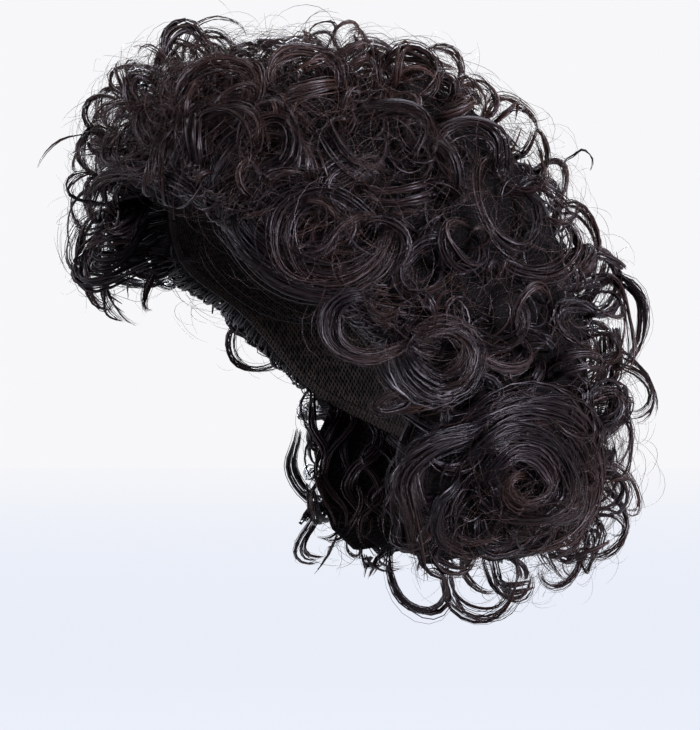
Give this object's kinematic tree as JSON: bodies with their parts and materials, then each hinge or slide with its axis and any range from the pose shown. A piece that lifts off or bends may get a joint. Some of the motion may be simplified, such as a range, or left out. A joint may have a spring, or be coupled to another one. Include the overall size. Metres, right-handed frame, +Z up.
{
  "type": "wig",
  "caption": "Dark curly wig: a hollow net cap cut along the hairline, dressed all over in loose ring curls, with a side-swept forelock and fuller rolls at the nape.",
  "frame": {"origin": "Inside of the cap's crown, where it rests on the top of the head.", "axes": "+Z up through the crown, -Y toward the forehead, +X toward the wearer's left ear."},
  "size_m": [0.2796, 0.3173, 0.327],
  "materials": {
    "net": "fine dark brown net, matt",
    "hair": "near-black brown hair, softly glossy"
  },
  "bodies": {
    "root": {"net_cap": "net", "crown_curls": "hair", "front_curls": "hair", "forelock": "hair", "left_side_curls": "hair", "right_side_curls": "hair", "back_curls": "hair", "left_nape_roll": "hair", "nape_curls": "hair", "right_nape_roll": "hair"}
  },
  "joints": []
}
